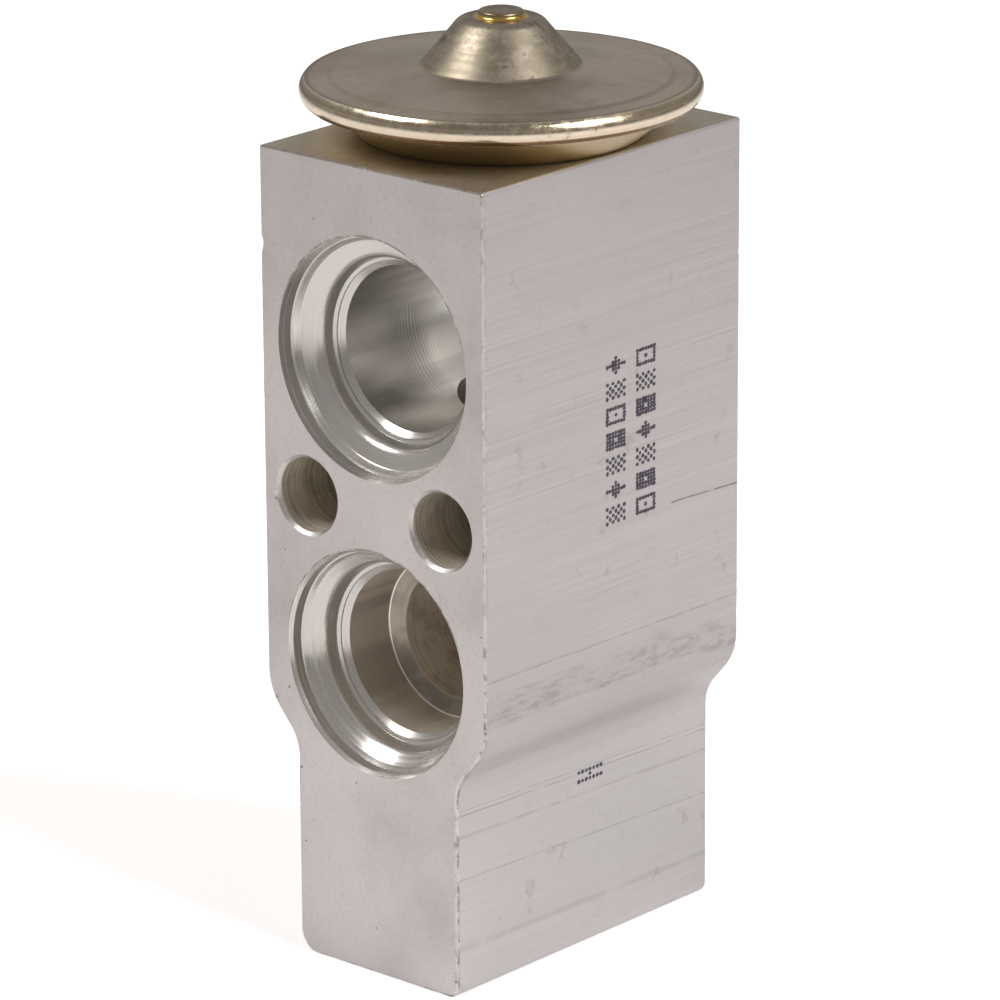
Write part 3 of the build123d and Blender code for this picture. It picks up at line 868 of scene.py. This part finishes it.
def rimSteel():  # the welded bead, with heat tint near its lower edge
    look = rimLook
    finish = turnedMetal("rimSteel", look, (0, 0), "Z")
    streak = finish.noise(1.0, 4.0, 0.6, finish.stretch((26, 26, 2400)))
    sparkle = finish.noise(520, 5.0, 0.75)
    finish.lay(finish.span(streak, 0.45, 0.75), *look["streaks"])
    # painted shade: a dark band along the top of the bead, in the crease under the disc
    finish.lay(finish.band(finish.along, *look["creaseShadeHeights"]), *look["creaseShadeBand"])
    finish.lay(finish.band(finish.along, *look["lowHeights"]), *look["lowBand"])
    finish.lay(finish.span(sparkle, 0.6, 0.68), *look["stains"])
    finish.lay(finish.specks(420, 0.06, 0.8), *look["pits"])
    finish.rough(finish.span(sparkle, 0.4, 0.7, *look["roughRange"]))
    finish.bump(sparkle, 0.4, 0.05)
    return finish.material


plugLook = {"base": (142, 127, 106), "roughness": 0.34, "stain": ((120, 102, 82), 0.5)}


def plugSteel():
    look = plugLook
    finish = turnedMetal("plugSteel", look, (0, 0), "Z")
    stain = finish.noise(700, 4.0, 0.6)
    finish.lay(finish.span(stain, 0.45, 0.65), *look["stain"])
    finish.bump(stain, 0.3, 0.05)
    return finish.material


solderLook = {"base": (205, 170, 98), "roughness": 0.24, "flow": ((150, 116, 56), 0.5)}


def solderMetal():
    look = solderLook
    finish = Finish("solderMetal", look)
    flow = finish.noise(900)
    finish.lay(finish.span(flow, 0.5, 0.65), *look["flow"])
    finish.bump(flow, 0.4, 0.08)
    return finish.material


inkLook = {"base": (60, 50, 64), "metallic": 0, "roughness": 0.55, "worn": ((128, 118, 124), 0.5)}


def inkPaint():  # print marks, thin and a little worn
    look = inkLook
    finish = Finish("printInk", look)
    worn = finish.noise(1400, 3.0, 0.6)
    finish.lay(finish.span(worn, 0.55, 0.7), *look["worn"])
    finish.bump(worn, 0.2, 0.01)
    return finish.material


stockLook = {  # haze holds a share of the base, and how much shows
    "ringPitch": 0.5,
    "haze": (0.85, 0.3),
    "threadPitch": 1.0,
    "threadEnd": 0.2,
    "threadDepth": 0.3,
}


def turnedStock(name, base, roughness, thread=None):
    # a piece of the inside; its thread is given by both ends and the radius that it lies outside
    look = stockLook | {"base": base, "roughness": roughness}
    finish = turnedMetal(name, look, (0, 0), "Z")
    finish.darken(finish.span(finish.noise(260), 0.5, 0.75), *look["haze"])
    if thread:
        low, high, inner = thread
        fade = look["threadEnd"]
        length = finish.band(finish.along, low, low + fade, high - fade, high)
        outside = finish.math("GREATER_THAN", finish.radius, inner * mm)
        ridges = finish.times(finish.wave(finish.along, look["threadPitch"]), length, outside)
        finish.bump(ridges, 0.9, look["threadDepth"])
    return finish.material


springLook = {"base": (168, 168, 172), "roughness": 0.26, "drawn": ((128, 127, 130), 0.35)}


def springMetal():
    look = springLook
    finish = Finish("springSteel", look)
    drawn = finish.noise(1.0, 3.0, 0.6, finish.stretch((300, 300, 2400)))
    finish.lay(finish.span(drawn, 0.45, 0.7), *look["drawn"])
    finish.bump(drawn, 0.3, 0.02)
    return finish.material


rubberLook = {"base": (34, 44, 38), "metallic": 0, "roughness": 0.5, "bloom": ((62, 68, 64), 0.4)}


def sealRubber():
    look = rubberLook
    finish = Finish("sealRubber", look)
    bloom = finish.noise(500, 4.0, 0.6)
    finish.lay(finish.span(bloom, 0.5, 0.75), *look["bloom"])
    finish.bump(bloom, 0.3, 0.03)
    return finish.material


blockFinishes = {
    "extruded": extrudedMetal(),
    "milled": milledMetal(),
    "sawn": sawnMetal(),
    "edge": edgeMetal(),
    "suctionPort": portMetal("suctionPort", suctionZ),
    "outletPort": portMetal("outletPort", outletZ),
    "inletPort": portMetal("inletPort", inletZ),
    "suctionBore": boreMetal("suctionBore", suctionZ, (255, 251, 246), 0.96),
    "outletBore": boreMetal("outletBore", outletZ, (226, 215, 200), 0.45),
    # a darker base: painted shade on the step deep in the outlet bore
    "outletStep": boreMetal(
        "outletStep", outletZ, (166, 156, 144), 0.85, portForm["outlet"]["bore"]
    ),
    "inletBore": boreMetal("inletBore", inletZ, (200, 190, 180), 0.8),
    "innerHole": drilledMetal("innerHole", 0, outletZ, (226, 214, 196), 1.3),
    "leftBolt": drilledMetal("leftBolt", -boltX, boltZ, (210, 199, 182), 0.9),
    "rightBolt": drilledMetal("rightBolt", boltX, boltZ, (206, 195, 178), 0.9),
    # a lighter base: painted light on the deep, shaded stem bore
    "stem": drilledMetal("stemBore", 0, 0, (236, 230, 222), 0.6),
}
finishes = {
    "head": headSteel(),
    "rim": rimSteel(),
    "plug": plugSteel(),
    "solder": solderMetal(),
    "ink": inkPaint(),
    "screw": turnedStock("screwBrass", (202, 172, 112), 0.26, (1.2, 4.4, 6.2)),
    "brass": turnedStock("turnedBrass", (206, 178, 120), 0.24),
    "neck": turnedStock("neckSteel", (166, 162, 156), 0.3, (75.6, 82.0, 9.0)),
    "rod": turnedStock("rodAluminium", (196, 194, 192), 0.26),
    "pin": turnedStock("groundSteel", (186, 186, 190), 0.14),
    "spring": springMetal(),
    "rubber": sealRubber(),
}

print("stage: block")

blockForm = {
    "halfWidth": 14.3,
    "halfFoot": 10.35,
    "shoulderTop": 26.6,
    "shoulderBottom": 22.0,
    "outerRound": 6.0,
    "innerRound": 4.5,
    "topRound": 0.3,
    "footRounds": (2.2, 1.0),
    "edgeBreak": 0.2,
    "edgeSegments": 2,
    "arcStep": 4,
    "plainSmoothAngle": 20,
    "boredSmoothAngle": 25,
    "flatFacing": 0.95,
    "edgeFacing": 0.15,
    "topFacing": 0.9,
}


def makeBlock():
    form = blockForm
    wide, foot = form["halfWidth"], form["halfFoot"]
    high, low = form["shoulderTop"], form["shoulderBottom"]
    left, right = form["footRounds"]
    outline = roundCorners(
        [
            (-wide, topZ / mm, form["topRound"]),
            (-wide, high, form["outerRound"]),
            (-foot, low, form["innerRound"]),
            (-foot, 0, left),
            (foot, 0, right),
            (foot, low, form["innerRound"]),
            (wide, high, form["outerRound"]),
            (wide, topZ / mm, form["topRound"]),
        ],
        closed=True,
        arcStep=form["arcStep"],
    )
    block = startOutline("blockBody")
    drawOutline([Vector((x * mm, frontY, z * mm)) for x, z in outline])
    bpy.ops.mesh.select_all(action="SELECT")
    bpy.ops.mesh.edge_face_add()
    bpy.ops.mesh.extrude_region_move(
        TRANSFORM_OT_translate={"value": (0, rearY - frontY, 0)}
    )
    bpy.ops.mesh.select_mode(type="EDGE")
    bpy.ops.mesh.select_all(action="DESELECT")
    mesh = bmesh.from_edit_mesh(block.data)
    for edge in mesh.edges:  # the outline's edges on both faces, not those between the faces
        first, second = [vertex.co.y for vertex in edge.verts]
        edge.select = abs(first - second) < form["edgeBreak"] * mm
    bmesh.update_edit_mesh(block.data)
    offset, segments = form["edgeBreak"] * mm, form["edgeSegments"]
    bpy.ops.mesh.bevel(offset=offset, segments=segments, affect="EDGES")
    bpy.ops.mesh.select_mode(type="VERT")
    return closeMesh(block, form["plainSmoothAngle"])


def portOutline(name):  # from outside the face down to where the bore starts
    form, port = portForm, portForm[name]
    bore, over = port["bore"], -form["overrun"]
    steps = port["mouth"] + form["seat"]
    outline = [(0, over, 0), (bore + steps[0][0], over, 0)]
    outline += [(bore + wider, depth, rounding) for wider, depth, rounding in steps]
    return outline + [(bore, form["boreStart"], form["boreRound"])]


def narrowTo(outline, radius, depth):  # a drilled step down to a smaller hole
    wider, start = outline[-1][:2]
    rounding = portForm["drillRound"]
    outline.append((radius, start + (wider - radius) * portForm["drillSlope"], rounding))
    outline.append((radius, depth, rounding))


def suctionOutline():  # both ports and the passage between them, in one cutter
    form = portForm
    bore = form["suction"]["bore"]
    half = portOutline("suction") + [(bore, form["stopStart"], 0)]
    half.append((bore - form["stopStep"], form["stopEnd"], 0))
    depth = (rearY - frontY) / mm
    return half + [(r, depth - d, rounding) for r, d, rounding in reversed(half)]


def outletOutline():
    form = portForm
    outline = portOutline("outlet")
    outline.append((form["outlet"]["bore"], form["outletBoreEnd"], form["endRound"]))
    narrowTo(outline, form["outletInner"], form["outletInnerEnd"])
    narrowTo(outline, 0, 0)
    return outline[:-1]


def inletOutline():
    form = portForm
    outline = portOutline("inlet")
    outline.append((form["inlet"]["bore"], form["inletBoreEnd"], form["endRound"]))
    narrowTo(outline, form["inletInner"], -frontY / mm)
    narrowTo(outline, 0, 0)
    return outline[:-1]


def cutPort(block, name, outline, faceY, inward):
    centre = Vector((0, faceY, portForm[name]["z"] * mm))
    steps = portForm["steps"]
    cutter = turnPiece(name + "Cutter", roundCorners(outline), centre, alongY * inward, steps)
    cutAway(block, cutter, blockFinishes[name + "Port"])


stemForm = {  # the bores on the valve's axis in mm: radius, then where each starts and ends
    "screwMouth": (7.55, -1, 0),
    "screwThread": (7.05, 0.5, 5.55),
    "springChamber": (6.2, 5.55, 21),
    "seatMouth": (3.1, 21),
    "orifice": (1.9, 22.2, 32.2),
    "pinGuide": (1.25, 32.2, 45.2),
    "gland": (3.05, 45.2, 51.8),
    "rodBore": (4.5, 51.8, 63),
    "stopWell": (7.3, 63, 74),
    "neckThread": (10.05, 74, 79.32),
    "neckMouth": (12.73, 82, 83),
}


def stemOutline():
    outline = [(radius, height) for radius, *heights in stemForm.values() for height in heights]
    return [(0, outline[0][1])] + outline + [(0, outline[-1][1])]


def boltCutter(side):  # its mouths widen at 45 degrees to past both faces
    depth = (rearY - frontY) / mm
    radius, chamfer, over = boltForm["radius"], boltForm["chamfer"], boltForm["overrun"]
    outline = [
        (0, -over, 0),
        (radius + chamfer + over, -over, 0),
        (radius, chamfer, boltForm["round"]),
        (radius, depth - chamfer, boltForm["round"]),
        (radius + chamfer + over, depth + over, 0),
        (0, depth + over, 0),
    ]
    centre = Vector((side * boltX, frontY, boltZ))
    return turnPiece("boltCutter", roundCorners(outline), centre, alongY, boltForm["steps"])


nickStretch = (0.8, 0.7, 1.4)
nickPlaces = [  # knocks on the block's edges: place and size in mm
    ((-14.45, -19.15, 72.1), 0.7),
    ((-14.3, -19.25, 70.3), 0.4),
    ((-12.75, -19.25, 46.9), 0.5),
    ((-14.4, -19.2, 52.6), 0.34),
    ((-14.5, -19.15, 45.3), 0.36),
    ((-13.2, -19.2, 26.2), 0.4),
    ((14.45, 19.1, 68.4), 0.4),
    ((14.5, 19.2, 31.0), 0.55),
    ((11.2, -19.2, 23.0), 0.3),
    ((10.5, -19.2, 13.4), 0.3),
    ((3.0, -19.2, 82.1), 0.3),
    ((-9.6, -19.2, 82.1), 0.28),
]


def makeNicks():
    deselectAll()
    dents = []
    for place, size in nickPlaces:
        bpy.ops.mesh.primitive_ico_sphere_add(
            subdivisions=3, radius=size * mm, location=Vector(place) * mm
        )
        dent = bpy.context.object
        dent.scale = nickStretch
        bpy.ops.object.transform_apply(location=True, rotation=False, scale=True)
        dents.append(dent)
    deselectAll()
    for dent in dents:
        dent.select_set(True)
    bpy.context.view_layer.objects.active = dents[0]
    bpy.ops.object.join()
    return bpy.context.object


def boredFinish(name, spot):  # which finish a bored wall has, by how deep it lies
    form = portForm
    near = 0.02
    depth = (spot.y - frontY) / mm
    if name != "outlet":
        depth = min(depth, (rearY - spot.y) / mm)
    radius = math.hypot(spot.x, spot.z - form[name]["z"] * mm) / mm
    if depth < form["boreStart"] + near:
        return name + "Port"
    if name == "outlet" and radius < form["outletInner"] + near:
        return "innerHole"
    if name == "outlet" and depth > form["outletBoreEnd"] + near:
        return "outletStep"
    return name + "Bore"


def finishFor(face, own):  # the finish that a face gets by where it lies and points, if not its own
    spot, normal = face.center, face.normal
    if own == blockFinishes["extruded"]:
        if abs(normal.y) > blockForm["flatFacing"]:
            return "milled"
        if abs(normal.y) > blockForm["edgeFacing"]:
            return "edge"
        if abs(normal.z) > blockForm["topFacing"] and (spot.z > topZ - mm or spot.z < mm):
            return "sawn"
    for name in ("suction", "outlet", "inlet"):
        if own == blockFinishes[name + "Port"]:
            return boredFinish(name, spot)
    rim = min(spot.y - frontY, rearY - spot.y) / mm
    bolts = (blockFinishes["leftBolt"], blockFinishes["rightBolt"])
    return "edge" if own in bolts and rim < boltForm["chamfer"] else None


def paintBlock(block):
    for material in blockFinishes.values():
        if material.name not in block.data.materials:
            block.data.materials.append(material)
    slots = {material.name: index for index, material in enumerate(block.data.materials)}
    for face in block.data.polygons:
        key = finishFor(face, block.data.materials[face.material_index])
        if key:
            face.material_index = slots[blockFinishes[key].name]


block = makeBlock()
block.data.materials.append(blockFinishes["extruded"])
cutPort(block, "suction", suctionOutline(), frontY, 1)
cutPort(block, "outlet", outletOutline(), frontY, 1)
cutPort(block, "inlet", inletOutline(), rearY, -1)
cutAway(block, turnPiece("stemCutter", stemOutline()), blockFinishes["stem"])
cutAway(block, boltCutter(-1), blockFinishes["leftBolt"])
cutAway(block, boltCutter(1), blockFinishes["rightBolt"])
cutAway(block, makeNicks(), blockFinishes["edge"])
paintBlock(block)
pickOnly(block)
bpy.ops.object.shade_smooth_by_angle(angle=math.radians(blockForm["boredSmoothAngle"]))
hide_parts("valve_body")
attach(block, "valve_block")
print("block faces", len(block.data.polygons))

print("stage: print marks")

inkForm = {
    "seed": 7,
    "dot": (0.24, 0.21),
    "dotCorners": 10,
    "dotSizes": ((0.85, 1.15), (0.85, 1.2)),
    "thickness": 0.012,
    "pitch": (0.42, 0.36),
    "stray": 0.03,
    "fieldSize": (7, 5),
    "fieldStep": 2.52,
    "top": 61.7,
    "lines": (3.5, -1.0),
    "markCentre": (0.95, 17.9),
    "markPitch": (0.56, 0.95),
    "markReach": 3,
}


def frameField(i, j, wide, tall):
    return i in (0, wide - 1) or j in (0, tall - 1) or (i == wide // 2 and j == tall // 2)


def checkerField(i, j, wide, tall):
    return (i + j) % 2 == 0


def blockField(i, j, wide, tall):
    return (i, j) != (wide // 2, tall // 2)


def diamondField(i, j, wide, tall):
    across, up = abs(2 * i - wide + 1) / (wide - 1), abs(2 * j - tall + 1) / (tall - 1)
    return across + up <= 1.05  # a little over 1, so that its corners count


inkFields = [
    [frameField, checkerField, blockField, diamondField, checkerField, blockField, frameField],
    [diamondField, checkerField, frameField, blockField, checkerField, diamondField, checkerField],
]


def addDot(mesh, faceX, y, z, rng):
    wide, tall = [
        size * rng.uniform(*sizes) for size, sizes in zip(inkForm["dot"], inkForm["dotSizes"])
    ]
    corners = inkForm["dotCorners"]
    rings = []
    for lift in (-0.5, 0.5):
        ring = []
        for step in range(corners):
            turn = 2 * math.pi * step / corners
            x = faceX + lift * inkForm["thickness"]
            spot = Vector((x, y + wide * math.cos(turn), z + tall * math.sin(turn)))
            ring.append(mesh.verts.new(spot * mm))
        rings.append(ring)
    mesh.faces.new(rings[1])
    mesh.faces.new(reversed(rings[0]))
    for step in range(corners):
        after = (step + 1) % corners
        mesh.faces.new((rings[0][step], rings[0][after], rings[1][after], rings[1][step]))


def makeInk():
    rng = random.Random(inkForm["seed"])
    mesh = bmesh.new()
    wide, tall = inkForm["fieldSize"]
    stepY, stepZ = inkForm["pitch"]
    stray = inkForm["stray"]
    for startY, fields in zip(inkForm["lines"], inkFields):
        for index, field in enumerate(fields):
            startZ = inkForm["top"] - index * inkForm["fieldStep"]
            for i in range(wide):
                for j in range(tall):
                    if field(i, j, wide, tall):
                        y = startY + i * stepY + rng.uniform(-stray, stray)
                        z = startZ - j * stepZ + rng.uniform(-stray, stray)
                        addDot(mesh, blockForm["halfWidth"], y, z, rng)
    middleY, middleZ = inkForm["markCentre"]
    stepY, stepZ = inkForm["markPitch"]
    reach, foot = inkForm["markReach"], blockForm["halfFoot"]
    for i in range(-reach, reach + 1):
        for side in (-0.5, 0.5):
            addDot(mesh, foot, middleY + i * stepY, middleZ + side * stepZ, rng)
    addDot(mesh, foot, middleY, middleZ, rng)
    data = bpy.data.meshes.new("inkMarks")
    bmesh.ops.recalc_face_normals(mesh, faces=mesh.faces)
    mesh.to_mesh(data)
    mesh.free()
    piece = bpy.data.objects.new("inkMarks", data)
    bpy.context.scene.collection.objects.link(piece)
    data.materials.append(finishes["ink"])
    return piece


ink = makeInk()
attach(ink, "valve_block")

print("stage: power head")

headForm = {
    "sheet": 0.9,
    "edge": 19.05,
    "flangeInner": 17.0,
    "flangeZ": 85.6,
    "diaphragmZ": 86.5,
    "upperZ": 86.7,
    "discZ": 87.6,
    "step": 0.25,
    "stepRound": 0.8,
    "bossFoot": (7.87, 88.7),
    "bossTop": (4.03, 93.35),
    "bossRounds": (0.7, 1.5),
    "bossInnerRounds": (0.9, 0.8),
    "plugHole": 1.15,
    "floorRadius": 13.7,
    "neckRadius": 10.0,
    "dishRound": 0.5,
    "seamRound": 0.3,
    "upperArcStep": 5,
    "lowerArcStep": 6,
    "steps": 240,
}


def makeUpperCover():
    form = headForm
    sheet, step, inner = form["sheet"], form["step"], form["flangeInner"]
    stepRound, seamRound = form["stepRound"], form["seamRound"]
    footR, footZ = form["bossFoot"]
    topR, plateau = form["bossTop"]
    footRound, topRound = form["bossRounds"]
    innerFootRound, innerTopRound = form["bossInnerRounds"]
    outline = roundCorners(
        [
            (form["edge"], form["discZ"], 0),
            (inner, form["discZ"], stepRound),
            (inner - 2 * step, form["discZ"] + step, stepRound),
            (footR, footZ, footRound),
            (topR, plateau, topRound),
            (form["plugHole"], plateau, 0),
            (form["plugHole"], plateau - sheet, 0),
            (topR - sheet / 2, plateau - sheet, innerTopRound),
            (footR - sheet / 2, footZ - sheet, innerFootRound),
            (inner - 2 * step - sheet / 4, form["discZ"] + step - sheet, seamRound),
            (inner - sheet / 4, form["upperZ"], seamRound),
            (form["edge"], form["upperZ"], 0),
        ],
        closed=True,
        arcStep=form["upperArcStep"],
    )
    return turnPiece("upperCover", outline, steps=form["steps"])


def makeLowerCover():
    form = headForm
    sheet, inner, floor = form["sheet"], form["flangeInner"], form["floorRadius"]
    low, lift = topZ / mm, sheet / 2
    outline = roundCorners(
        [
            (form["neckRadius"], low, 0),
            (floor, low, sheet),
            (inner + lift, form["flangeZ"] - lift, form["dishRound"]),
            (form["edge"], form["flangeZ"] - lift / 2, 0),
            (form["edge"], form["diaphragmZ"], 0),
            (inner - lift, form["diaphragmZ"], form["seamRound"]),
            (floor - lift, low + sheet, form["dishRound"]),
            (form["neckRadius"], low + sheet, 0),
        ],
        closed=True,
        arcStep=form["lowerArcStep"],
    )
    return turnPiece("lowerCover", outline, steps=form["steps"])


rimForm = {"radius": 19.6, "drop": 0.3, "arcSteps": 16}


def makeRim():  # an arc between the covers' edges, closed by its chord
    low, high = headForm["flangeZ"] - rimForm["drop"], headForm["discZ"]
    half = (high - low) / 2
    bulge = rimForm["radius"] - headForm["edge"]
    radius = (half * half + bulge * bulge) / (2 * bulge)
    reach = math.asin(half / radius)
    outline = []
    for index in range(rimForm["arcSteps"] + 1):
        turn = reach * (2 * index / rimForm["arcSteps"] - 1)
        across = rimForm["radius"] - radius + radius * math.cos(turn)
        outline.append((across, (low + high) / 2 + radius * math.sin(turn)))
    return turnPiece("rimWeld", outline, steps=headForm["steps"])


plugForm = {
    "radius": 2.2,
    "height": 0.7,
    "stem": 1.1,
    "stemLength": 1.9,
    "stemRound": 0.1,
    "footRound": 0.05,
    "shoulderDrop": 0.04,
    "shoulderRound": 0.22,
    "ridge": 0.72,
    "dimple": 0.6,
    "dimpleRound": 0.3,
    "dimpleDepths": (0.06, 0.08),
    "arcStep": 8,
    "steps": 128,
}


def makePlug():
    form = plugForm
    base = headForm["bossTop"][1]
    top = base + form["height"]
    rimDepth, middleDepth = form["dimpleDepths"]
    outline = roundCorners(
        [
            (0, base - form["stemLength"], 0),
            (form["stem"], base - form["stemLength"], form["stemRound"]),
            (form["stem"], base, 0),
            (form["radius"], base, form["footRound"]),
            (form["radius"], top - form["shoulderDrop"], form["shoulderRound"]),
            (form["radius"] * form["ridge"], top, form["dimpleRound"]),
            (form["radius"] * form["dimple"], top - rimDepth, form["dimpleRound"]),
            (0, top - middleDepth, 0),
        ],
        arcStep=form["arcStep"],
    )
    return turnPiece("chargePlug", outline, steps=form["steps"])


solderForm = {"width": 0.5, "height": 0.4, "arcSteps": 8}


def makeSolder():  # a hollow fillet between the plug and the boss
    radius, base = plugForm["radius"], headForm["bossTop"][1]
    outline = [(radius, base)]
    for index in range(solderForm["arcSteps"] + 1):
        turn = math.pi / 2 * index / solderForm["arcSteps"]
        across = radius + solderForm["width"] * (1 - math.sin(turn))
        outline.append((across, base + solderForm["height"] * (1 - math.cos(turn))))
    return turnPiece("plugSolder", outline, steps=plugForm["steps"])


for piece, node, key, recordSlot in (
    (makeUpperCover(), "upper_cover", "head", "head_steel"),
    (makeLowerCover(), "lower_cover", "head", "head_steel"),
    (makeRim(), "rim_weld", "rim", "rim_steel"),
    (makePlug(), "charge_plug", "plug", "plug_steel"),
    (makeSolder(), "plug_solder", "solder", "solder_brass"),
):
    piece.data.materials.append(finishes[key])
    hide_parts(node)
    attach(piece, "valve_block")

print("stage: inside pieces")

springForm = {
    "radius": 3.85,
    "wire": 0.45,
    "wireSteps": 3,
    "coils": 4.5,
    "steps": 40,
    "travel": 0.8,
}


def makeSpring():  # round wire, with both ends ground flat where they meet the screw and the carrier
    form = springForm
    low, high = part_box("bias_spring")
    curve = bpy.data.curves.new("springPath", "CURVE")
    curve.dimensions = "3D"
    curve.bevel_depth = form["wire"] * mm
    curve.bevel_resolution = form["wireSteps"]
    curve.use_fill_caps = True
    count = int(form["coils"] * form["steps"])
    wire = curve.splines.new("POLY")
    wire.points.add(count)
    for index, point in enumerate(wire.points):
        turn = 2 * math.pi * index / form["steps"]
        height = low.z + (high.z - low.z) * index / count
        x, y = form["radius"] * math.cos(turn) * mm, form["radius"] * math.sin(turn) * mm
        point.co = (x, y, height, 1)
    piece = bpy.data.objects.new("biasSpring", curve)
    bpy.context.scene.collection.objects.link(piece)
    pickOnly(piece)
    bpy.ops.object.convert(target="MESH")
    piece = bpy.context.object
    for vertex in piece.data.vertices:
        vertex.co.z = min(max(vertex.co.z, low.z), high.z)
    return piece


spring = makeSpring()
spring.data.materials.append(finishes["spring"])
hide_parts("bias_spring")
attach(spring, "valve_block")
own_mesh(spring)

insideFinishes = {
    "adjusting_screw": "screw",
    "adjuster_seal": "rubber",
    "valve_ball": "pin",
    "ball_carrier": "brass",
    "damper_spring": "spring",
    "operating_pin": "pin",
    "sensing_rod": "rod",
    "rod_seal": "rubber",
    "seal_retainer": "spring",
    "diaphragm_stop": "brass",
    "threaded_neck": "neck",
    "head_seal": "rubber",
    "diaphragm": "neck",
}
for node, key in insideFinishes.items():
    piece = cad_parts[node]
    piece.data.materials.clear()
    piece.data.materials.append(finishes[key])
